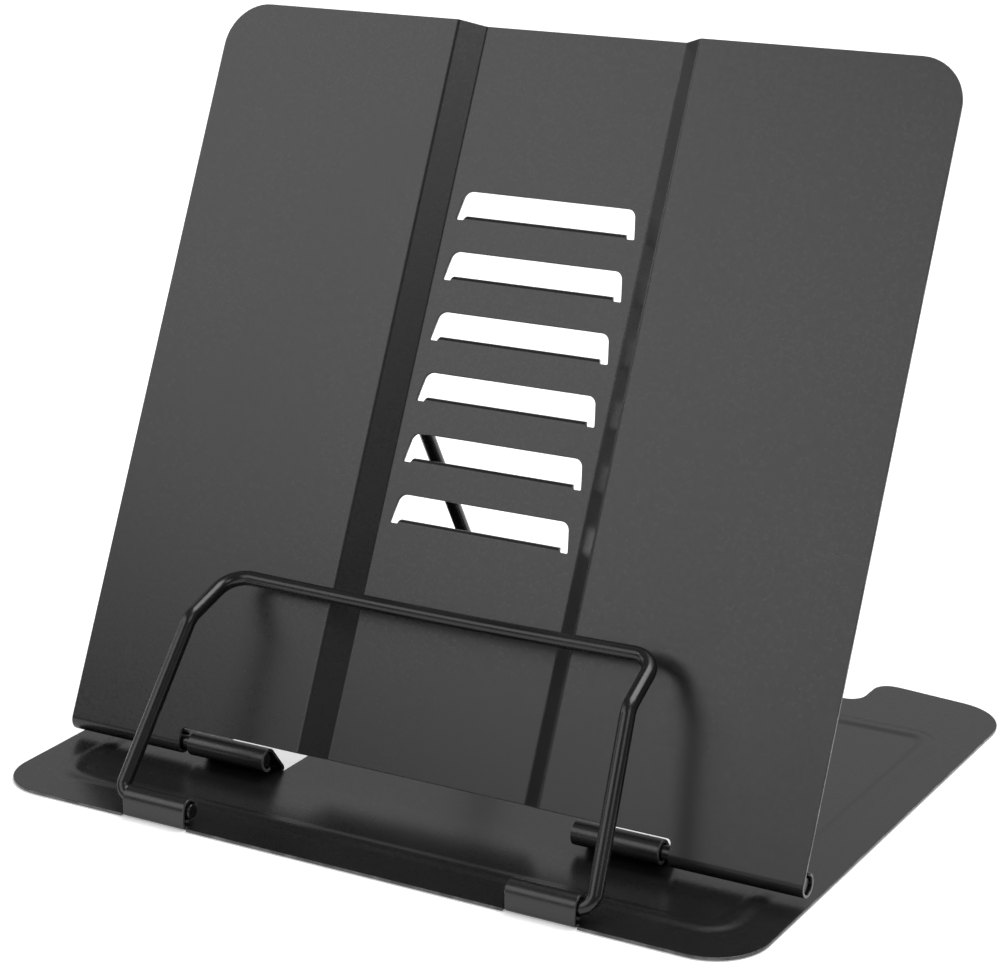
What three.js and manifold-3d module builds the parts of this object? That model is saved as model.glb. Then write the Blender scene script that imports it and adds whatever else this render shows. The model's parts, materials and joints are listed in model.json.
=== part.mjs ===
// Folding sheet-metal book display stand: a base and a back plate joined by a pinned hinge,
// a wire prop behind the plate and a wire page holder in front. Units are millimetres,
// +X right, +Y to the rear, +Z up; the origin is the centre of the footprint, on the table.
import * as THREE from "three";
import { mergeVertices } from "three/addons/utils/BufferGeometryUtils.js";
import Module from "manifold-3d";

const wasm = await Module();
wasm.setup();

// ---------- driving dimensions ----------
const SHEET = 0.8; // thickness of the base and of the back plate
const WIRE_RADIUS = 1.9; // page holder, prop and hinge pins
const ROLL_RADIUS = 2.65; // middle of the sheet in every rolled knuckle

// Base. Depths are measured from its front edge.
const BASE_HALF = 105;
const BASE_DEPTH = 173.4;
const FRONT_RADIUS = 14;
const REAR_RADIUS = 16;
const LOBE_PEAK = 71.5; // beyond it each rear lobe falls away towards the outer corner
const LOBE_FALL = 3.9;
const CUTOUT_HALF = 65.4; // finger cut-out between the rear lobes
const CUTOUT_FRONT = 158.7;
const CUTOUT_RADIUS = 4.5;
const RIB_HALF = 93; // crest line of the pressed rib, a rounded rectangle
const RIB_FRONT = 14.3;
const RIB_REAR = 144;
const RIB_RADIUS = 6.5;
const RIB_CREST = 0.8; // width of its flat top
const RIB_FLANK = 3;
const RIB_HEIGHT = 0.4;

// Page holder, in knuckles that rise from the base's front edge.
const HOLDER_Y = ROLL_RADIUS + SHEET / 2;
const HOLDER_Z = 4.3;
const HOLDER_KNUCKLE = [45, 63.2];
const HOLDER_TIP = 44;
const HOLDER_FOOT = 66.2;
const HOLDER_KINK = [61.7, 28.6, 43.4];
const HOLDER_CORNER = [60.3, 45.4, 49.9];

// Back plate hinge, in knuckles lanced out of the base.
const HINGE_Y = 36;
const HINGE_Z = 5.6;
const HINGE_KNUCKLE = [44.2, 67.5];
const HINGE_SLANT = THREE.MathUtils.degToRad(38); // how far its straps lean forward over the sheet
const HINGE_WINDOW = [43.9, 56];
const PIN_SPAN = [44.8, 103.8];
const LEAN = THREE.MathUtils.degToRad(25.2); // from the vertical

// Back plate, in its own frame: z runs up the plate from the hinge axis, y to its rear.
const PLATE_HALF = 104.5;
const PLATE_TOP = 195.4;
const PLATE_RADIUS = 12;
const NOTCH_HALF = 70; // the rolled edge is missing between the two outer rolls
const NOTCH_TOP = 3.4;
const NOTCH_RADIUS = 1;
const CHANNEL_HALF = 28.6; // flat of the stiffening channel
const CHANNEL_MOUTH = 34.5;
const CHANNEL_DEPTH = 4.9;
const FOLD_RADIUS = 1.6;
const SLOT_COUNT = 6;
const SLOT_FIRST = 66.5; // lower edge of the lowest slot
const SLOT_PITCH = 15.85;
const SLOT_HEIGHT = 6.3;
const SLOT_BOTTOM = 25.5; // half widths at the lower and at the upper edge
const SLOT_TOP = 24;
const SLOT_RADIUS = 2.4;
const RELIEF = 1; // notch at each end of a lip's bend
const LIP_HALF = 23.4;
const LIP_TIP = 22;
const LIP_LENGTH = 2.4; // beyond the channel's rear face

// Prop, whose bar stands behind the channel, under the lip of the third slot.
const PROP_Y = 131.5;
const PROP_Z = 4.1;
const PROP_KNUCKLE = [31, 47];
const PROP_WINDOW_START = 110.5;
const PROP_TIP = 48;
const PROP_LEG = 27.3;
const PROP_BAR_UP = 94.6; // the bar, in the back plate's frame
const PROP_BAR_BACK = 7.3;

const WINDOW_MARGIN = 0.4; // a lanced window is this much wider than its tab, each side
const WINDOW_RADIUS = 1.5;
const FOOT_BEND = 3; // centre-line radii of the wires
const CORNER_BEND = 6.5;
const KINK_BEND = 6;
const WIRE_SIDES = 12;
const ARC_STEP = THREE.MathUtils.degToRad(20); // longest facet along any arc
const BASE_CURL = THREE.MathUtils.degToRad(300); // how far the rolled edges go round
const PLATE_CURL = THREE.MathUtils.degToRad(280);

// ---------- outlines ----------
const X = new THREE.Vector3(1, 0, 0);
const Y = new THREE.Vector3(0, 1, 0);
const Z = new THREE.Vector3(0, 0, 1);
const FLAT = new THREE.Matrix4(); // drawn in x and y
const UPRIGHT = new THREE.Matrix4().makeBasis(X, Z, Y.clone().negate()); // x and z, extruded to -y
const ACROSS = new THREE.Matrix4().makeBasis(Y, Z, X); // drawn in y and z

const corner = (x, y, z, radius = 0) => ({ at: new THREE.Vector3(x, y, z), radius });

// Points along the arc that rounds a corner.
function arcAt(before, { at, radius }, after) {
  const into = at.clone().sub(before).normalize();
  const out = after.clone().sub(at).normalize();
  const turn = into.angleTo(out);
  if (!radius) return [at];
  const start = at.clone().addScaledVector(into, -radius * Math.tan(turn / 2));
  const inward = out.clone().addScaledVector(into, -out.dot(into)).normalize();
  const centre = start.clone().addScaledVector(inward, radius);
  const steps = Math.ceil(turn / ARC_STEP);
  return Array.from({ length: steps + 1 }, (_, i) =>
    centre
      .clone()
      .addScaledVector(inward, -radius * Math.cos((turn * i) / steps))
      .addScaledVector(into, radius * Math.sin((turn * i) / steps)),
  );
}

function closedLine(corners) {
  const last = corners.length - 1;
  return corners.flatMap((c, i) =>
    arcAt(corners[i ? i - 1 : last].at, c, corners[i < last ? i + 1 : 0].at),
  );
}

function openLine(corners) {
  const last = corners.length - 1;
  return corners.flatMap((c, i) =>
    i === 0 || i === last ? [c.at] : arcAt(corners[i - 1].at, c, corners[i + 1].at),
  );
}

function rectangle(left, right, low, high, radius) {
  return closedLine([
    corner(left, low, 0, radius),
    corner(right, low, 0, radius),
    corner(right, high, 0, radius),
    corner(left, high, 0, radius),
  ]);
}

// Direction of a line at one of its points, halfway between the segments that meet there.
function heading(line, i) {
  const here = line[i];
  const into = here.clone().sub(line[Math.max(i - 1, 0)]).normalize();
  const out = line[Math.min(i + 1, line.length - 1)].clone().sub(here).normalize();
  return into.add(out).normalize();
}

// Outline of sheet metal whose middle follows a line drawn in a plane.
function sheetAlong(line) {
  const side = (sign) =>
    line.map((point, i) => {
      const ahead = heading(line, i);
      const next = line[i ? i - 1 : 1].clone().sub(point).normalize();
      const offset = (sign * SHEET) / 2 / Math.abs(next.dot(ahead));
      return new THREE.Vector3(point.x - ahead.y * offset, point.y + ahead.x * offset, 0);
    });
  return [...side(1), ...side(-1).reverse()];
}

// A tab that rises to the axis at the origin, leaning by the slant, and curls over it to +x.
function curl(rise, sweep, slant = 0) {
  const steps = Math.ceil((sweep - slant) / ARC_STEP);
  const line = Array.from({ length: steps + 1 }, (_, i) => {
    const angle = Math.PI - slant - ((sweep - slant) * i) / steps;
    return new THREE.Vector3(Math.cos(angle), Math.sin(angle), 0).multiplyScalar(ROLL_RADIUS);
  });
  const strap = (rise + ROLL_RADIUS * Math.sin(slant)) / Math.cos(slant);
  const foot = new THREE.Vector3(-Math.sin(slant), -Math.cos(slant), 0);
  return sheetAlong([foot.multiplyScalar(strap).add(line[0]), ...line]);
}

const moved = (points, x, y) => points.map((p) => new THREE.Vector3(p.x + x, p.y + y, 0));
const flipped = (points, x, y) => points.map((p) => new THREE.Vector3(p.x * x, p.y * y, 0));

// ---------- solids ----------
function solidOf(geometry) {
  const bare = geometry.index ? geometry.toNonIndexed() : geometry.clone();
  bare.deleteAttribute("normal");
  bare.deleteAttribute("uv");
  const merged = mergeVertices(bare, 1e-4);
  const mesh = new wasm.Mesh({
    numProp: 3,
    vertProperties: new Float32Array(merged.attributes.position.array),
    triVerts: new Uint32Array(merged.index.array),
  });
  return new wasm.Manifold(mesh);
}

function extruded(points, low, high, plane, holes = [], bevel = {}) {
  const shape = new THREE.Shape(points);
  shape.holes = holes.map((hole) => new THREE.Path(hole));
  const options = { depth: high - low, bevelEnabled: false, ...bevel };
  const geometry = new THREE.ExtrudeGeometry(shape, options);
  return solidOf(geometry.translate(0, 0, low).applyMatrix4(plane));
}

// The same solid on both sides of the centre line, from one span of distances to it.
function pair([near, far], make) {
  return make(near, far).add(make(-far, -near));
}

class Route extends THREE.Curve {
  constructor(line) {
    super();
    this.line = line;
  }

  station(share) {
    return Math.round(share * (this.line.length - 1));
  }

  getPointAt(share, target = new THREE.Vector3()) {
    return target.copy(this.line[this.station(share)]);
  }

  getTangentAt(share, target = new THREE.Vector3()) {
    return target.copy(heading(this.line, this.station(share)));
  }
}

function wire(corners) {
  const line = openLine(corners);
  const section = Array.from({ length: WIRE_SIDES }, (_, i) => {
    const angle = (2 * Math.PI * (i + 0.5)) / WIRE_SIDES;
    return new THREE.Vector2(WIRE_RADIUS * Math.cos(angle), WIRE_RADIUS * Math.sin(angle));
  });
  const options = { steps: line.length - 1, bevelEnabled: false, extrudePath: new Route(line) };
  return solidOf(new THREE.ExtrudeGeometry(new THREE.Shape(section), options));
}

// A whole wire from its left half's corners, given by their distance from the centre line.
const mirrored = (corners) => [
  ...corners.map(({ at, radius }) => corner(-at.x, at.y, at.z, radius)),
  ...corners.toReversed(),
];

function part(name, solid, colour, roughness, metalness) {
  const { vertProperties, triVerts } = solid.getMesh();
  const geometry = new THREE.BufferGeometry();
  geometry.setAttribute("position", new THREE.BufferAttribute(vertProperties, 3));
  geometry.setIndex(new THREE.BufferAttribute(triVerts, 1));
  const material = new THREE.MeshStandardMaterial({ color: colour, roughness, metalness });
  const mesh = new THREE.Mesh(geometry, material);
  mesh.name = name;
  return mesh;
}

// ---------- base ----------
function pressedRib(lift) {
  const ring = (inset) =>
    rectangle(
      -RIB_HALF + inset,
      RIB_HALF - inset,
      RIB_FRONT + inset,
      RIB_REAR - inset,
      RIB_RADIUS - inset,
    );
  const bevel = {
    bevelEnabled: true,
    bevelThickness: RIB_HEIGHT,
    bevelSize: RIB_FLANK,
    bevelSegments: 1,
  };
  const [outer, inner] = [ring(-RIB_CREST / 2), ring(RIB_CREST / 2)];
  return extruded(outer, lift - SHEET, lift, FLAT, [inner], bevel);
}

function baseSolid() {
  const half = [
    corner(BASE_HALF, 0, 0, FRONT_RADIUS),
    corner(BASE_HALF, BASE_DEPTH - LOBE_FALL, 0, REAR_RADIUS),
    corner(LOBE_PEAK, BASE_DEPTH, 0),
    corner(CUTOUT_HALF, BASE_DEPTH, 0, CUTOUT_RADIUS),
    corner(CUTOUT_HALF, CUTOUT_FRONT, 0, CUTOUT_RADIUS),
  ];
  const otherHalf = half.map(({ at, radius }) => corner(-at.x, at.y, 0, radius)).reverse();
  const plate = extruded(closedLine([...half, ...otherHalf]), 0, SHEET, FLAT);
  const below = rectangle(-BASE_HALF, BASE_HALF, 0, BASE_DEPTH, 0);
  const floor = extruded(below, -2 * SHEET - RIB_HEIGHT, 0, FLAT);

  const knuckles = (span, outline) =>
    pair(span, (near, far) => extruded(outline, near, far, ACROSS));
  const window = ([near, far], front, rear) =>
    pair([near - WINDOW_MARGIN, far + WINDOW_MARGIN], (left, right) =>
      extruded(rectangle(left, right, front, rear, WINDOW_RADIUS), -SHEET, 2 * SHEET, FLAT),
    );
  const hingeCurl = flipped(curl(HINGE_Z - SHEET / 2, BASE_CURL, HINGE_SLANT), -1, 1);
  const propFront = PROP_Y - ROLL_RADIUS - SHEET / 2;
  return plate
    .add(pressedRib(SHEET))
    .subtract(pressedRib(0))
    .subtract(floor)
    .subtract(window(HINGE_KNUCKLE, ...HINGE_WINDOW))
    .subtract(window(PROP_KNUCKLE, PROP_WINDOW_START, propFront))
    .add(knuckles(HOLDER_KNUCKLE, moved(curl(HOLDER_Z, BASE_CURL), HOLDER_Y, HOLDER_Z)))
    .add(knuckles(HINGE_KNUCKLE, moved(hingeCurl, HINGE_Y, HINGE_Z)))
    .add(knuckles(PROP_KNUCKLE, moved(curl(PROP_Z, BASE_CURL), PROP_Y, PROP_Z)));
}

// ---------- back plate ----------
function slot(bottom) {
  return closedLine([
    corner(-SLOT_BOTTOM, bottom - RELIEF, 0),
    corner(-LIP_HALF, bottom - RELIEF, 0),
    corner(-LIP_HALF, bottom, 0),
    corner(LIP_HALF, bottom, 0),
    corner(LIP_HALF, bottom - RELIEF, 0),
    corner(SLOT_BOTTOM, bottom - RELIEF, 0),
    corner(SLOT_TOP, bottom + SLOT_HEIGHT, 0, SLOT_RADIUS),
    corner(-SLOT_TOP, bottom + SLOT_HEIGHT, 0, SLOT_RADIUS),
  ]);
}

function plateSolid() {
  const channel = CHANNEL_DEPTH - ROLL_RADIUS; // middle of the channel's flat
  const folded = openLine([
    corner(-PLATE_HALF, -ROLL_RADIUS, 0),
    corner(-CHANNEL_MOUTH, -ROLL_RADIUS, 0, FOLD_RADIUS),
    corner(-CHANNEL_HALF, channel, 0, FOLD_RADIUS),
    corner(CHANNEL_HALF, channel, 0, FOLD_RADIUS),
    corner(CHANNEL_MOUTH, -ROLL_RADIUS, 0, FOLD_RADIUS),
    corner(PLATE_HALF, -ROLL_RADIUS, 0),
  ]);
  const outline = closedLine([
    corner(-PLATE_HALF, 0, 0),
    corner(-NOTCH_HALF, 0, 0),
    corner(-NOTCH_HALF, NOTCH_TOP, 0, NOTCH_RADIUS),
    corner(NOTCH_HALF, NOTCH_TOP, 0, NOTCH_RADIUS),
    corner(NOTCH_HALF, 0, 0),
    corner(PLATE_HALF, 0, 0),
    corner(PLATE_HALF, PLATE_TOP, 0, PLATE_RADIUS),
    corner(-PLATE_HALF, PLATE_TOP, 0, PLATE_RADIUS),
  ]);
  const rear = channel + SHEET / 2;
  const lip = [
    new THREE.Vector2(-LIP_HALF, channel),
    new THREE.Vector2(LIP_HALF, channel),
    new THREE.Vector2(LIP_TIP, rear + LIP_LENGTH),
    new THREE.Vector2(-LIP_TIP, rear + LIP_LENGTH),
  ];
  const rolled = flipped(curl(SHEET, PLATE_CURL), 1, -1);
  let plate = extruded(sheetAlong(folded), 0, PLATE_TOP, FLAT)
    .intersect(extruded(outline, -CHANNEL_DEPTH, CHANNEL_DEPTH, UPRIGHT))
    .add(pair([NOTCH_HALF, PLATE_HALF], (near, far) => extruded(rolled, near, far, ACROSS)));
  for (let i = 0; i < SLOT_COUNT; i++) {
    const bottom = SLOT_FIRST + i * SLOT_PITCH;
    plate = plate
      .subtract(extruded(slot(bottom), -rear - SHEET, -channel + SHEET, UPRIGHT))
      .add(extruded(lip, bottom - SHEET, bottom, FLAT));
  }
  return plate;
}

// ---------- wires ----------
const holderWire = wire(
  mirrored([
    corner(HOLDER_TIP, HOLDER_Y, HOLDER_Z),
    corner(HOLDER_FOOT, HOLDER_Y, HOLDER_Z, FOOT_BEND),
    corner(...HOLDER_KINK, KINK_BEND),
    corner(...HOLDER_CORNER, CORNER_BEND),
  ]),
);

const barOffset = new THREE.Vector3(0, PROP_BAR_BACK, PROP_BAR_UP).applyAxisAngle(X, -LEAN);
const propWire = wire(
  mirrored([
    corner(PROP_TIP, PROP_Y, PROP_Z),
    corner(PROP_LEG, PROP_Y, PROP_Z, FOOT_BEND),
    corner(PROP_LEG, HINGE_Y + barOffset.y, HINGE_Z + barOffset.z, CORNER_BEND),
  ]),
);

const pin = (near, far) =>
  wire([corner(near, HINGE_Y, HINGE_Z), corner(far, HINGE_Y, HINGE_Z)]);

const backPlate = part("back_plate", plateSolid(), 0x1c1c1d, 0.6, 0.2);
backPlate.position.set(0, HINGE_Y, HINGE_Z);
backPlate.rotation.x = -LEAN;

const group = new THREE.Group();
group.add(
  part("base_plate", baseSolid(), 0x1a1a1b, 0.6, 0.2),
  backPlate,
  part("hinge_pin_left", pin(-PIN_SPAN[1], -PIN_SPAN[0]), 0x161617, 0.4, 0.3),
  part("hinge_pin_right", pin(PIN_SPAN[0], PIN_SPAN[1]), 0x161617, 0.4, 0.3),
  part("prop_wire", propWire, 0x161617, 0.4, 0.3),
  part("page_holder_wire", holderWire, 0x161617, 0.4, 0.3),
);
group.position.y = -BASE_DEPTH / 2;

export default group;
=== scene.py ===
"""Looks of the folding book display stand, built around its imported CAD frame.

Shapes are worked out in millimetres and go out in metres, in the row frame. Each sheet part is
drawn as its flat blank, cut with rounded edges, and then bent the way a press would bend it.
"""

import json
import math

import bmesh
import bpy
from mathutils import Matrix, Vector
from mathutils.geometry import tessellate_polygon


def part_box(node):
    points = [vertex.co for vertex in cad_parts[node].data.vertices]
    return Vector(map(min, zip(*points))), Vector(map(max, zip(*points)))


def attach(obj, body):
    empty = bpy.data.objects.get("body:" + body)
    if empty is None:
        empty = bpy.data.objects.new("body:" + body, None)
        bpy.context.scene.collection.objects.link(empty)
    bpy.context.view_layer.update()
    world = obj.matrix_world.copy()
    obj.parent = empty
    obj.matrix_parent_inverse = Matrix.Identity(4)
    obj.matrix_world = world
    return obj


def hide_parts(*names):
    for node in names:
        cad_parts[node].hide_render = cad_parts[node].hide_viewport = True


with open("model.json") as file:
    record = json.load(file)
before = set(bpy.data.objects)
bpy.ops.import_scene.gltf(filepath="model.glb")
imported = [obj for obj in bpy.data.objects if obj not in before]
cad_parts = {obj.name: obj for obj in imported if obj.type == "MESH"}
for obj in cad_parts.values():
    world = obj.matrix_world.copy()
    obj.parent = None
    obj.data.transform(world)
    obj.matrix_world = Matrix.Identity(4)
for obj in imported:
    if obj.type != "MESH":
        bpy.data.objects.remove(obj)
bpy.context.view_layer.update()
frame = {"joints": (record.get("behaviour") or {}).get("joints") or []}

MM = 0.001  # metres in a millimetre
SHEET = 0.8  # thickness
WIRE = 1.9  # radius
EDGE = 0.2  # rounding of the cut edges under the coat
ROLL = 2.65  # middle radius of the knuckles and rolled edges
LANCE = 0.8  # middle radius of the bend at a tab's root
GAP = 0.4  # width of the cut beside a lanced tab
RELIEF = 0.1  # how far the cuts beside a tab run on past its root
NICK = 0.15  # corner radius where such a cut ends
TIP = 0.8  # corner radius at the end of a knuckle's tab
LEAN = math.radians(25.2)  # of the back plate, from upright

joints = {j["name"]: Vector(j["pos_m"]) / MM for j in frame["joints"]}
FRONT = (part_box("base_plate")[0] / MM).y
HINGE = joints["plate_hinge"]
HOLDER = joints["page_holder_hinge"]
PROP = joints["prop_hinge"]

ARC_STEP = math.radians(7)  # between the points of a sheet's rounded corner
WIRE_STEP = math.radians(5)  # between the rings of a bent wire
BEND_STEP = math.radians(8)  # between the edges across a bent tab
FOLD_STEP = math.radians(6)  # between the edges along the channel's folds
WIRE_SIDES = 32
TAB_MARGIN = 0.3  # slack in telling a tab's points from those beside it
INSIDE = 1e-4  # keeps the wires' ends within the CAD model's box
NO_TURN = 1e-6  # a corner that turns less is straight
NO_AREA = 1e-12  # a triangle with less is left out
SNAP = 1e-5  # a cut this close to a vertex goes through it


# ---------- lines ----------
def arc_points(before, at, after, radius, step, least=1):
    """Points along the arc that rounds a line's corner, or the corner if it is sharp."""
    into = (at - before).normalized()
    out = (after - at).normalized()
    turn = into.angle(out, 0.0)
    if radius == 0 or turn < NO_TURN:
        return [at.copy()]
    start = at - into * radius * math.tan(turn / 2)
    inward = (out - into * out.dot(into)).normalized()
    centre = start + inward * radius
    steps = max(least, math.ceil(turn / step))
    return [
        centre
        - inward * radius * math.cos(turn * k / steps)
        + into * radius * math.sin(turn * k / steps)
        for k in range(steps + 1)
    ]


def outline(corners):
    """A closed outline from (x, y, radius) corners."""
    spots = [Vector((x, y)) for x, y, _ in corners]
    points = []
    for i, (_, _, radius) in enumerate(corners):
        after = spots[(i + 1) % len(spots)]
        points += arc_points(spots[i - 1], spots[i], after, radius, ARC_STEP)
    return points


def bent_line(corners):
    """An open line from (point, radius) corners."""
    points = [corners[0][0]]
    for (a, _), (b, radius), (c, _) in zip(corners, corners[1:], corners[2:]):
        points += arc_points(a, b, c, radius, WIRE_STEP, least=6)
    return points + [corners[-1][0]]


def mitres(loop):
    """For each point, the vector to its left that moves both of its edges by one."""
    found = []
    for i, point in enumerate(loop):
        a = (point - loop[i - 1]).normalized()
        b = (loop[(i + 1) % len(loop)] - point).normalized()
        a, b = Vector((-a.y, a.x)), Vector((-b.y, b.x))
        found.append((a + b) / (1 + a.dot(b)))
    return found


class Bend:
    """A run of sheet that bends along its length: a list of (length, turn in radians)."""

    def __init__(self, *runs):
        self.runs = runs
        self.length = sum(length for length, _ in runs)

    def at(self, t):
        """Distance ahead, distance up and heading of the sheet's middle after length t."""
        ahead = up = heading = 0.0
        for length, turn in self.runs:
            part = min(max(t, 0.0), length)
            bent = turn * part / length
            if turn:
                radius = length / turn
                ahead += radius * (math.sin(heading + bent) - math.sin(heading))
                up += radius * (math.cos(heading) - math.cos(heading + bent))
            else:
                ahead += part * math.cos(heading)
                up += part * math.sin(heading)
            heading += bent
            t -= part
        return ahead, up, heading

    def moved(self, t, height, normal_ahead, normal_up):
        """A point of the bent sheet and its normal, from those of the flat sheet."""
        ahead, up, heading = self.at(t)
        c, s = math.cos(heading), math.sin(heading)
        point = (ahead - height * s, up + height * c)
        return point, (normal_ahead * c - normal_up * s, normal_ahead * s + normal_up * c)

    def stations(self, step):
        """The lengths at which the sheet needs an edge across it."""
        start, found = 0.0, []
        for length, turn in self.runs:
            steps = max(1, math.ceil(abs(turn) / step))
            found += [start + length * k / steps for k in range(steps)]
            start += length
        return found


class Tab:
    """A tab on each side of the blank, or across its middle, that bends from its root on.

    near and far are its sides' distances from the centre line, and sense is the way it points
    along Y. It may be drawn shorter in the blank than it ends up, as pressed metal stretches.
    """

    def __init__(self, near, far, root, sense, bend, drawn=None):
        self.near, self.far, self.root, self.sense = near, far, root, sense
        self.bend = bend
        self.drawn = drawn or bend.length

    @property
    def end(self):
        return self.root + self.sense * self.drawn

    @property
    def relief(self):
        """Where the cuts beside the tab end."""
        return self.root - self.sense * RELIEF

    @property
    def spans(self):
        """The tab's (left, right) spans in X."""
        if self.near == 0:
            return [(-self.far, self.far)]
        return [(self.near, self.far), (-self.far, -self.near)]

    def holds(self, x, y):
        t = (y - self.root) * self.sense
        beside = self.near - TAB_MARGIN < abs(x) < self.far + TAB_MARGIN
        return beside and 0 < t < self.drawn + TAB_MARGIN

    def apply(self, co, normal):
        """A point of the flat tab and its normal, once the tab is bent."""
        t = (co.y - self.root) * self.sense * self.bend.length / self.drawn
        turned = self.bend.moved(t, co.z, normal.y * self.sense, normal.z)
        (ahead, up), (normal_ahead, normal_up) = turned
        place = Vector((co.x, self.root + self.sense * ahead, up))
        return place, Vector((normal.x, self.sense * normal_ahead, normal_up))


# ---------- sheet metal ----------
def edge_profile():
    """The cut edge from below to above: (inset, height, normal outward, normal up)."""
    lower = [
        (
            EDGE * (1 - math.sin(a)),
            EDGE * (1 - math.cos(a)) - SHEET / 2,
            math.sin(a),
            -math.cos(a),
        )
        for a in (math.radians(d) for d in (0, 30, 60, 90))
    ]
    return lower + [(d, -h, out, -up) for d, h, out, up in reversed(lower)]


def fill(bm, rings, upward):
    """Triangles between an outer ring of vertices and the rings of its holes."""
    flat = [v for ring in rings for v in ring]
    for indices in tessellate_polygon([[v.co.copy() for v in ring] for ring in rings]):
        a, b, c = (flat[i] for i in indices)
        turn = (b.co - a.co).cross(c.co - a.co).z
        if abs(turn) > NO_AREA:
            bm.faces.new((a, b, c) if (turn > 0) == upward else (a, c, b))


def blank(loops, ribs=()):
    """A flat sheet as a bmesh. Every loop keeps the metal on its left, the outer one first.

    ribs are closed loops, (points, lift, slope) from the outermost inwards, round all holes.
    Each vertex keeps its normal, and in "rim" how far it stands out on a cut edge.
    """
    bm = bmesh.new()
    normal = bm.verts.layers.float_vector.new("flat_normal")
    rim = bm.verts.layers.float.new("rim")
    tops, bottoms = [], []
    for loop in loops:
        sides = mitres(loop)
        rings = []
        for inset, height, out, up in edge_profile():
            ring = []
            for point, side in zip(loop, sides):
                v = bm.verts.new((*(point + side * inset), height))
                away = side.normalized() * -out
                v[normal] = (away.x, away.y, up)
                v[rim] = out
                ring.append(v)
            rings.append(ring)
        for low, high in zip(rings, rings[1:]):
            for i in range(len(loop)):
                bm.faces.new((low[i - 1], low[i], high[i], high[i - 1]))
        bottoms.append(rings[0])
        tops.append(rings[-1])

    raised = {1: [], -1: []}
    lifts = []
    for points, lift, slope in ribs:
        for sense, rings in raised.items():
            ring = []
            for point, side in zip(points, mitres(points)):
                v = bm.verts.new((point.x, point.y, sense * SHEET / 2))
                tilt = Vector((*(side.normalized() * -slope), 1)).normalized() * sense
                v[normal] = tilt
                ring.append(v)
                lifts.append((v, lift))
            rings.append(ring)
    for sense, rings in raised.items():
        edges = tops if sense > 0 else bottoms
        for outer, inner in zip(rings, rings[1:]):
            for i in range(len(outer)):
                quad = (outer[i - 1], outer[i], inner[i], inner[i - 1])
                bm.faces.new(quad if sense > 0 else quad[::-1])
        if rings:
            fill(bm, [edges[0], rings[0]], sense > 0)
            fill(bm, [rings[-1], *edges[1:]], sense > 0)
        else:
            fill(bm, edges, sense > 0)
    for v, lift in lifts:  # only now, because the filling needs a flat sheet
        v.co.z += lift
    return bm


def cut(bm, geom, axis, value):
    """Edges across these faces where axis = value. Returns the faces with their new pieces."""
    direction = Vector((1, 0, 0)) if axis == 0 else Vector((0, 1, 0))
    made = bmesh.ops.bisect_plane(
        bm, geom=geom, plane_co=direction * value, plane_no=direction, dist=SNAP
    )
    return made["geom"]


def around(faces):
    """The faces with their edges and vertices, in a fixed order."""
    edges = {e: None for f in faces for e in f.edges}
    verts = {v: None for f in faces for v in f.verts}
    return [*faces, *edges, *verts]


def cut_for_tabs(bm, tabs):
    """Edges across the tabs wherever they bend."""
    for tab in tabs:
        low, high = sorted((tab.root, tab.end))
        share = tab.drawn / tab.bend.length
        for left, right in tab.spans:
            faces = []
            for face in bm.faces:
                xs, ys = zip(*(v.co.xy for v in face.verts))
                if min(xs) < right and max(xs) > left and min(ys) < high and max(ys) > low:
                    faces.append(face)
            geom = around(faces)
            for station in tab.bend.stations(BEND_STEP):
                geom = cut(bm, geom, 1, tab.root + tab.sense * station * share)


def bent_object(name, bm, tabs, place):
    """Bends the blank's tabs, then puts every point and normal where place says."""
    normal = bm.verts.layers.float_vector["flat_normal"]
    rim = bm.verts.layers.float["rim"]
    normals, rims = [], []
    for v in bm.verts:
        co, out = v.co.copy(), v[normal].normalized()
        for tab in tabs:
            if tab.holds(co.x, co.y):
                co, out = tab.apply(co, out)
                break
        co, out = place(co, out)
        v.co = co * MM
        normals.append(out.normalized())
        rims.append(v[rim])
    return finished(name, bm, normals, rims)


def finished(name, bm, normals, rims):
    """The bmesh as an object, smooth, with these normals and rim values."""
    mesh = bpy.data.meshes.new(name)
    bm.to_mesh(mesh)
    bm.free()
    for polygon in mesh.polygons:
        polygon.use_smooth = True
    mesh.normals_split_custom_set_from_vertices(normals)
    attribute = mesh.attributes.get("rim") or mesh.attributes.new("rim", "FLOAT", "POINT")
    attribute.data.foreach_set("value", rims)
    obj = bpy.data.objects.new(name, mesh)
    bpy.context.scene.collection.objects.link(obj)
    return obj


def both_sides(corners):
    """A closed outline's corners from those of its right half, front to rear."""
    return corners + [(-x, y, radius) for x, y, radius in reversed(corners)]


def hole(corners):
    """A hole's outline, turned so that it keeps the metal on its left."""
    loop = outline(corners)
    clockwise = sum(a.cross(b) for a, b in zip(loop, loop[1:] + loop[:1])) < 0
    return loop if clockwise else loop[::-1]


def lanced_window(tab, far_edge):
    """The hole round a tab, as one loop on the right and one on the left."""
    corner = 1.5
    right = [
        (tab.near - GAP, tab.relief, NICK),
        (tab.near, tab.relief, NICK),
        (tab.near, tab.end, TIP),
        (tab.far, tab.end, TIP),
        (tab.far, tab.relief, NICK),
        (tab.far + GAP, tab.relief, NICK),
        (tab.far + GAP, far_edge, corner),
        (tab.near - GAP, far_edge, corner),
    ]
    return [hole(right), hole([(-x, y, radius) for x, y, radius in right])]


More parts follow.
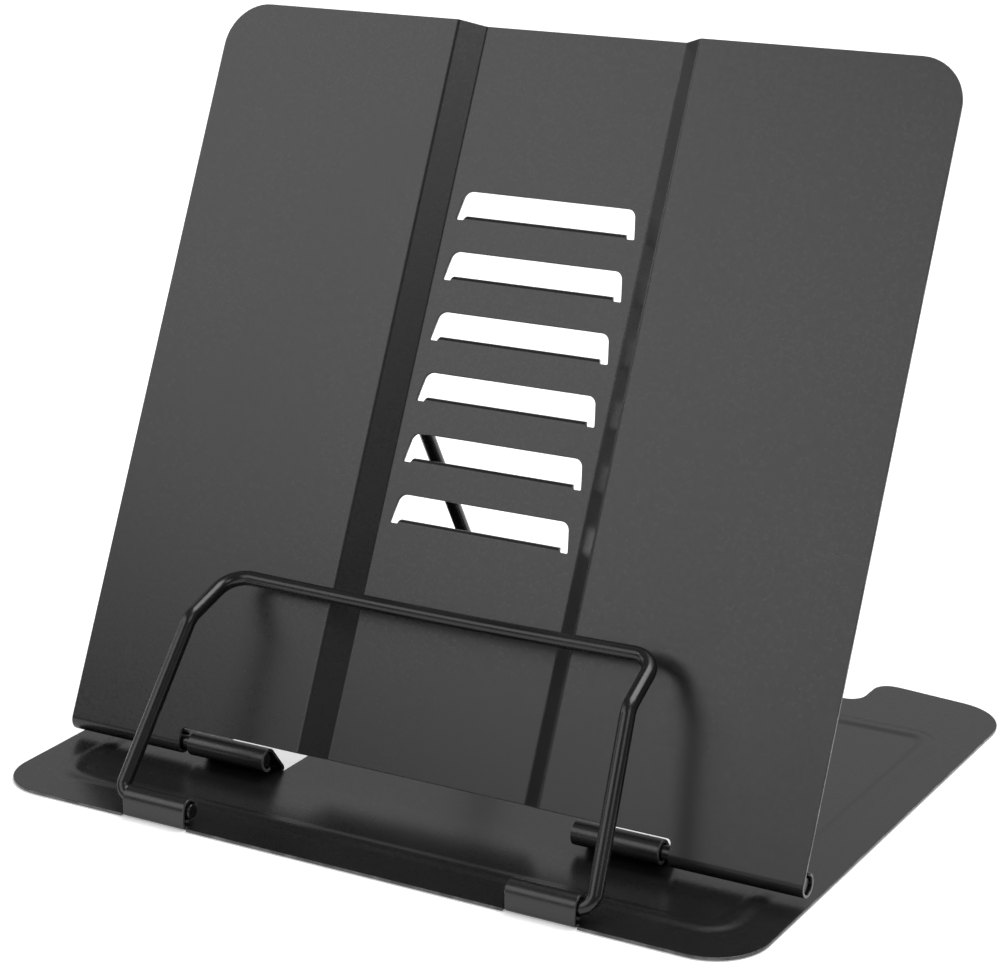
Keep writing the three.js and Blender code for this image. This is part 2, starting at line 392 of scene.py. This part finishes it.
# ---------- base ----------
def knuckle(near, far, axis, sense, drawn=None, slant=0.0):
    """A tab that rises to the axis, leaning off upright by the slant, and curls round it."""
    s, c = math.sin(slant), math.cos(slant)
    rise = (axis.z - SHEET / 2 - LANCE * (1 + s) + ROLL * s) / c
    turn, curl = math.pi / 2 + slant, math.radians(300) - slant
    bend = Bend((LANCE * turn, turn), (rise, 0.0), (ROLL * curl, curl))
    root = axis.y + sense * ((ROLL - LANCE) * c + rise * s)
    return Tab(near, far, root, sense, bend, drawn)


def rib_loops():
    """Loops for the rib round the base, across a wave that starts, crests and ends level."""
    half, front, rear, radius = 93.0, FRONT + 14.3, FRONT + 144.0, 6.5
    crest, foot, height = 0.3, 3.6, 0.4
    steps = 8
    found = []
    for k in range(-steps, steps + 1):
        s = foot * k / steps
        across = min(max((abs(s) - crest) / (foot - crest), 0.0), 1.0)
        lift = height * (0.5 + 0.5 * math.cos(math.pi * across))
        slope = 0.5 * height * math.pi / (foot - crest) * math.sin(math.pi * across)
        corners = [
            (-half + s, front + s, radius - s),
            (half - s, front + s, radius - s),
            (half - s, rear - s, radius - s),
            (-half + s, rear - s, radius - s),
        ]
        found.append((outline(corners), lift, slope if s < 0 else -slope))
    return found


def build_base():
    holder_tab = knuckle(45.0, 63.2, HOLDER, -1)
    hinge_tab = knuckle(44.2, 67.5, HINGE, 1, drawn=12.4, slant=math.radians(38))
    prop_tab = knuckle(31.0, 47.0, PROP, -1, drawn=17.0)
    slit, slit_corner = 0.6, 0.25  # beside the page holder's knuckles
    side, cutout = 105.0, 65.4  # half widths of the base and of its rear cut-out
    half = [
        (holder_tab.near - slit, FRONT, NICK),
        (holder_tab.near - slit, holder_tab.relief, slit_corner),
        (holder_tab.near, holder_tab.relief, slit_corner),
        (holder_tab.near, holder_tab.end, TIP),
        (holder_tab.far, holder_tab.end, TIP),
        (holder_tab.far, holder_tab.relief, slit_corner),
        (holder_tab.far + slit, holder_tab.relief, slit_corner),
        (holder_tab.far + slit, FRONT, NICK),
        (side, FRONT, 14.0),
        (side, FRONT + 169.5, 16.0),
        (71.5, FRONT + 173.4, 18.0),
        (cutout, FRONT + 173.4, 4.5),
        (cutout, FRONT + 158.7, 4.5),
    ]
    loops = [outline(both_sides(half))]
    loops += lanced_window(hinge_tab, FRONT + 56.0)
    loops += lanced_window(prop_tab, FRONT + 110.5)
    bm = blank(loops, rib_loops())
    tabs = [holder_tab, hinge_tab, prop_tab]
    cut_for_tabs(bm, tabs)

    def place(co, out):
        return co + Vector((0, 0, SHEET / 2)), out

    return bent_object("base_sheet", bm, tabs, place)


# ---------- back plate ----------
def channel():
    """The channel: its bend outwards from the sheet's middle, its depth, and the width of
    blank that each of its walls uses up beyond what shows from the front.
    """
    mouth, floor_half, depth, fold = 34.5, 28.6, 4.9, 1.6
    angle = math.atan2(depth, mouth - floor_half)
    reach = fold * math.tan(angle / 2)
    wall = math.hypot(depth, mouth - floor_half) - 2 * reach
    wing = 100.0  # longer than needed
    across = Bend(
        (floor_half - reach, 0.0),
        (fold * angle, angle),
        (wall, 0.0),
        (fold * angle, -angle),
        (wing, 0.0),
    )
    spare = sum(length for length, _ in across.runs[:4]) - (mouth + reach)
    return across, depth, spare


def slot_with_lip(edge):
    """One slot above its lower edge, and the lip that is folded back from that edge."""
    bend = Bend((LANCE * math.pi / 2, -math.pi / 2), (2.0, 0.0))
    lip = Tab(0.0, 23.4, edge - LANCE - SHEET / 2, 1, bend)
    opening = [
        (25.5, lip.relief, 0.3),
        (25.0, edge + 1.6, 0.0),
        (24.1, edge + 6.3, 2.4),
    ]
    tongue = [(22.0, lip.end, 0.5), (lip.far, lip.relief, 0.25)]
    left_tongue = [(-x, y, radius) for x, y, radius in reversed(tongue)]
    return hole(both_sides(opening) + left_tongue + tongue), lip


def build_plate():
    across, depth, spare = channel()
    side, top, notch = 104.5 + spare, 195.4, 70.1 + spare
    curl = math.radians(280)
    roll = Tab(notch, side, 0.0, -1, Bend((ROLL * curl, -curl)))
    half = [
        (notch, 3.4, 1.2),
        (notch, roll.end, TIP),
        (side, roll.end, TIP),
        (side, top, 12.0),
    ]
    lowest, pitch = 66.5, 15.85
    holes, lips = zip(*(slot_with_lip(lowest + pitch * i) for i in range(6)))
    tabs = [roll, *lips]
    bm = blank([outline(both_sides(half)), *holes])
    cut_for_tabs(bm, tabs)
    geom = around(list(bm.faces))
    for station in across.stations(FOLD_STEP):
        if station:
            geom = cut(bm, geom, 0, station)
            geom = cut(bm, geom, 0, -station)

    c, s = math.cos(LEAN), math.sin(LEAN)
    floor_mid = ROLL - depth  # the wings lie ROLL in front of the hinge

    def place(co, out):
        sense = 1 if co.x > 0 else -1
        turned = across.moved(abs(co.x), co.z, out.x * sense, out.z)
        (x, n), (out_x, out_n) = turned
        n += floor_mid
        point = Vector((sense * x, co.y * s - n * c, co.y * c + n * s)) + HINGE
        return point, Vector((sense * out_x, out.y * s - out_n * c, out.y * c + out_n * s))

    return bent_object("back_sheet", bm, tabs, place)


# ---------- wires ----------
def nose_rings(end, tangent, sense, nose):
    """Rings that round over a wire's end, from its tip inwards. sense is 1 at the start.

    Each is (centre, tangent, radius, share of the tangent in the normal).
    """
    rings = []
    for a in (math.radians(d) for d in (0, 30, 60, 90)):
        back = nose * (1 - math.cos(a)) + INSIDE
        radius = WIRE - nose * (1 - math.sin(a))
        rings.append((end + tangent * sense * back, tangent, radius, -sense * math.cos(a)))
    return rings


def wire(name, path, nose=0.45):
    """A round wire along the path, with its ends rounded over."""
    tangents = []
    for i, point in enumerate(path):
        before = (point - path[i - 1]).normalized() if i else Vector((0, 0, 0))
        after = (path[i + 1] - point).normalized() if i + 1 < len(path) else Vector((0, 0, 0))
        tangents.append((before + after).normalized())
    stations = nose_rings(path[0], tangents[0], 1, nose)
    stations += [(p, t, WIRE, 0.0) for p, t in zip(path[1:-1], tangents[1:-1])]
    stations += nose_rings(path[-1], tangents[-1], -1, nose)[::-1]

    bm = bmesh.new()
    normals, rings = [], []
    side = tangents[0].orthogonal().normalized()
    for centre, tangent, radius, along in stations:
        side = (side - tangent * side.dot(tangent)).normalized()
        other = tangent.cross(side)
        ring = []
        for k in range(WIRE_SIDES):
            angle = 2 * math.pi * k / WIRE_SIDES
            away = side * math.cos(angle) + other * math.sin(angle)
            ring.append(bm.verts.new((centre + away * radius) * MM))
            normals.append(away * math.sqrt(1 - along * along) + tangent * along)
        rings.append(ring)
    for a, b in zip(rings, rings[1:]):
        for k in range(WIRE_SIDES):
            bm.faces.new((a[k - 1], a[k], b[k], b[k - 1]))
    bm.faces.new(rings[0][::-1])
    bm.faces.new(rings[-1])
    return finished(name, bm, normals, [0.0] * len(normals))


def mirrored(corners):
    """A whole wire from the corners of its right half, listed from the foot."""
    left = [(Vector((-p.x, p.y, p.z)), radius) for p, radius in corners]
    return left + corners[::-1]


def build_holder():
    """Feet that turn in the knuckles, cranked arms and a bar that sags slightly."""
    half = [
        (Vector((44.0, HOLDER.y, HOLDER.z)), 0.0),
        (Vector((66.2, HOLDER.y, HOLDER.z)), 3.0),
        (Vector((61.7, FRONT + 28.6, 43.4)), 6.0),
        (Vector((60.3, FRONT + 45.4, 49.9)), 6.5),
    ]
    sag = (Vector((0.0, FRONT + 45.0, 49.1)), 2600.0)
    corners = mirrored(half)
    corners.insert(len(half), sag)
    return wire("page_holder_loop", bent_line(corners))


def build_prop():
    """Feet that turn in the knuckles, two legs and the bar behind the back plate."""
    c, s = math.cos(LEAN), math.sin(LEAN)
    leg, foot_end = 27.3, 48.0
    up, back = 94.6, 7.3  # the bar's place along the plate and behind it
    bar = HINGE + Vector((0, up * s + back * c, up * c - back * s))
    half = [
        (Vector((foot_end, PROP.y, PROP.z)), 0.0),
        (Vector((leg, PROP.y, PROP.z)), 3.0),
        (Vector((leg, bar.y, bar.z)), 6.5),
    ]
    return wire("prop_loop", bent_line(mirrored(half)))


def build_pin(name, sense):
    start, end = sorted((sense * 44.8, sense * 103.8))
    path = [Vector((x, HINGE.y, HINGE.z)) for x in (start, (start + end) / 2, end)]
    return wire(name, path, nose=0.35)


# ---------- materials ----------
class Shader:
    """One procedural material, in the object's own coordinates."""

    def __init__(self, name):
        self.material = bpy.data.materials.new(name)
        self.material.use_nodes = True
        self.tree = self.material.node_tree
        self.shader = self.tree.nodes["Principled BSDF"]
        self.coordinates = self.node("ShaderNodeTexCoord").outputs["Object"]

    def node(self, kind, **settings):
        made = self.tree.nodes.new(kind)
        for key, value in settings.items():
            setattr(made, key, value)
        return made

    def link(self, output, socket):
        self.tree.links.new(output, socket)

    def noise(self, scale, detail=2.0, roughness=0.5):
        """Noise from 0 to 1, mostly near 0.5, with features about 1 / scale metres wide."""
        made = self.node("ShaderNodeTexNoise")
        made.inputs["Scale"].default_value = scale
        made.inputs["Detail"].default_value = detail
        made.inputs["Roughness"].default_value = roughness
        self.link(self.coordinates, made.inputs["Vector"])
        return made.outputs["Fac"]

    def ranged(self, value, low, high, to_low, to_high):
        """The value with the range low to high mapped to another range, and clamped to it."""
        made = self.node("ShaderNodeMapRange")
        self.link(value, made.inputs["Value"])
        made.inputs["From Min"].default_value = low
        made.inputs["From Max"].default_value = high
        made.inputs["To Min"].default_value = to_low
        made.inputs["To Max"].default_value = to_high
        return made.outputs["Result"]

    def combined(self, operation, a, b):
        made = self.node("ShaderNodeMath", operation=operation)
        self.link(a, made.inputs[0])
        self.link(b, made.inputs[1])
        return made.outputs["Value"]

    def blend(self, factor, first, second):
        """The first colour turning into the second. Each is a tuple or a node's output."""
        made = self.node("ShaderNodeMix", data_type="RGBA")
        self.link(factor, made.inputs["Factor"])
        for socket, colour in ((made.inputs["A"], first), (made.inputs["B"], second)):
            if isinstance(colour, tuple):
                socket.default_value = (*colour, 1.0)
            else:
                self.link(colour, socket)
        return made.outputs["Result"]

    def bump(self, height, strength, distance, under=None):
        """A normal with this bump, distance metres high, on top of the one under it."""
        made = self.node("ShaderNodeBump")
        made.inputs["Strength"].default_value = strength
        made.inputs["Distance"].default_value = distance
        self.link(height, made.inputs["Height"])
        if under is not None:
            self.link(under, made.inputs["Normal"])
        return made.outputs["Normal"]

    def finish(self, colour, roughness, normal, **constants):
        """Links the patterned inputs, and sets the constants on the shader's own sockets."""
        self.link(colour, self.shader.inputs["Base Color"])
        self.link(roughness, self.shader.inputs["Roughness"])
        self.link(normal, self.shader.inputs["Normal"])
        for key, value in constants.items():
            self.shader.inputs[key.replace("_", " ")].default_value = value
        return self.material


def grey(value, blue=0.0):
    """A neutral colour, or one that is slightly blue."""
    return (value, value, value + blue)


def powder_coat():
    """Fine-textured black powder coat, paler and shinier where it wraps a cut edge: partly
    worn coat, partly a painted highlight along the edges.
    """
    m = Shader("powder_coat")
    grain = m.noise(1000.0)
    peel = m.noise(330.0)
    cloud = m.noise(14.0, 3.0)
    wave = m.noise(9.0, 1.0)

    # the cut edges' mask: partly edge wear, partly a painted highlight where edges would catch
    # the light
    rim = m.node("ShaderNodeAttribute", attribute_name="rim").outputs["Fac"]
    edge_patches = m.ranged(m.noise(160.0, 4.0, 0.7), 0.46, 0.62, 0.25, 1.0)
    edge_wear_and_highlight = m.combined("MULTIPLY", rim, edge_patches)

    clouded = m.ranged(cloud, 0.35, 0.65, 0.0, 1.0)
    specks = m.ranged(grain, 0.6, 0.75, 0.0, 0.5)
    body = m.blend(clouded, grey(0.0055, 0.0002), grey(0.0078, 0.0002))
    speckled = m.blend(specks, body, grey(0.013, 0.0002))
    # pale grey on the cut edges: partly wear, partly a painted highlight
    colour = m.blend(edge_wear_and_highlight, speckled, grey(0.11, 0.002))

    clouded_rough = m.ranged(cloud, 0.3, 0.7, 0.28, 0.315)
    grain_rough = m.ranged(grain, 0.3, 0.7, -0.03, 0.03)
    edge_rough = m.ranged(edge_wear_and_highlight, 0.0, 1.0, 0.0, -0.06)
    rough = m.combined("ADD", m.combined("ADD", clouded_rough, grain_rough), edge_rough)

    normal = m.bump(wave, 0.2, 0.0012)
    normal = m.bump(peel, 0.08, 0.00005, normal)
    normal = m.bump(grain, 0.2, 0.00004, normal)
    return m.finish(colour, rough, normal, Specular_IOR_Level=0.5)


def wire_coat():
    """Smooth semi-gloss black over drawn wire."""
    m = Shader("wire_coat")
    cloud = m.noise(40.0, 3.0)
    peel = m.noise(420.0)
    grain = m.noise(2200.0, 2.0, 0.6)

    clouded = m.ranged(cloud, 0.35, 0.65, 0.0, 1.0)
    colour = m.blend(clouded, grey(0.004, 0.0003), grey(0.008, 0.0003))

    clouded_rough = m.ranged(cloud, 0.3, 0.7, 0.2, 0.27)
    grain_rough = m.ranged(grain, 0.3, 0.7, -0.02, 0.03)
    rough = m.combined("ADD", clouded_rough, grain_rough)

    normal = m.bump(peel, 0.2, 0.0001)
    normal = m.bump(grain, 0.15, 0.00003, normal)
    return m.finish(colour, rough, normal, Specular_IOR_Level=0.4)


def pale_floor():
    """Matt white sweep, a little self-lit so that it stays white right up to the stand."""
    m = Shader("pale_floor")
    clouded = m.ranged(m.noise(3.0), 0.3, 0.7, 0.0, 1.0)
    colour = m.blend(clouded, grey(0.86), grey(0.88))
    rough = m.ranged(m.noise(40.0), 0.3, 0.7, 0.75, 0.85)
    normal = m.bump(m.noise(300.0), 0.05, 0.0002)
    m.shader.inputs["Emission Color"].default_value = (1.0, 1.0, 1.0, 1.0)
    return m.finish(colour, rough, normal, Emission_Strength=0.3)


# ---------- assembly ----------
coat, shiny = powder_coat(), wire_coat()
pieces = [
    (build_base(), "base", "base_plate", "coated_sheet", coat),
    (build_plate(), "back", "back_plate", "coated_sheet", coat),
    (build_pin("pin_left", -1), "base", "hinge_pin_left", "coated_wire", shiny),
    (build_pin("pin_right", 1), "base", "hinge_pin_right", "coated_wire", shiny),
    (build_prop(), "prop", "prop_wire", "coated_wire", shiny),
    (build_holder(), "page_holder", "page_holder_wire", "coated_wire", shiny),
]
for piece, body, node, slot, material in pieces:
    piece.data.materials.append(material)
    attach(piece, body)
    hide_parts(node)


# ---------- studio ----------
# name, azimuth and elevation in degrees, distance, (width, height), radiance
LIGHTS = [
    ("overhead", 150, 67, 2.5, (2.0, 2.0), 5.6),
    ("key", -34, 34, 2.0, (1.3, 1.0), 2.25),  # mirrored by the wings and the channel's floor
    ("front", -12, 16, 2.0, (0.9, 0.5), 0.9),
    ("right", 57, 41, 2.0, (0.9, 0.9), 2.1),  # the channel's left side
    ("strip", -63, 37, 2.0, (0.16, 0.5), 8.0),  # lines on the wires
    ("left", -84, 18, 2.0, (0.8, 0.5), 1.9),  # the channel's right side
    ("rear", -150, 26, 2.2, (2.6, 1.0), 0.42),  # the base
]


def floor():
    """A round floor, a hair below the stand."""
    bm = bmesh.new()
    bmesh.ops.create_circle(bm, cap_ends=True, segments=96, radius=9.0)
    mesh = bpy.data.meshes.new("floor")
    bm.to_mesh(mesh)
    bm.free()
    made = bpy.data.objects.new("floor", mesh)
    made.location.z = -0.0002
    bpy.context.scene.collection.objects.link(made)
    mesh.materials.append(pale_floor())


def softbox(name, azimuth, elevation, distance, size, radiance):
    """An area light aimed at the stand. Azimuth 0 is the front and grows to the right."""
    light = bpy.data.lights.new(name, "AREA")
    light.shape = "RECTANGLE"
    light.size, light.size_y = size
    light.energy = radiance * math.pi * size[0] * size[1]
    around_z, up = math.radians(azimuth), math.radians(elevation)
    away = Vector((math.sin(around_z), -math.cos(around_z), 0)) * math.cos(up)
    away.z = math.sin(up)
    made = bpy.data.objects.new(name, light)
    made.location = Vector((0, 0, 0.08)) + away * distance
    made.rotation_euler = away.to_track_quat("Z", "Y").to_euler()
    bpy.context.scene.collection.objects.link(made)


def surroundings():
    """An even grey light from all round."""
    world = bpy.data.worlds.new("studio")
    world.use_nodes = True
    background = world.node_tree.nodes["Background"]
    background.inputs["Color"].default_value = (1.0, 1.0, 1.0, 1.0)
    background.inputs["Strength"].default_value = 0.22
    bpy.context.scene.world = world


def camera():
    """The camera, in front and to the right, looking a little down at the stand."""
    azimuth, elevation, roll = 29.74, 17.23, 0.11
    lens = bpy.data.cameras.new("camera")
    lens.lens = 101.66
    lens.sensor_width = 36.0
    lens.shift_x = -0.0007
    lens.shift_y = -0.0048
    made = bpy.data.objects.new("camera", lens)
    made.location = (0.33638, -0.59701, 0.28565)
    made.rotation_euler = tuple(math.radians(a) for a in (90 - elevation, roll, azimuth))
    bpy.context.scene.collection.objects.link(made)
    bpy.context.scene.camera = made
    bpy.context.scene.view_settings.view_transform = "Standard"


floor()
surroundings()
for light in LIGHTS:
    softbox(*light)
camera()
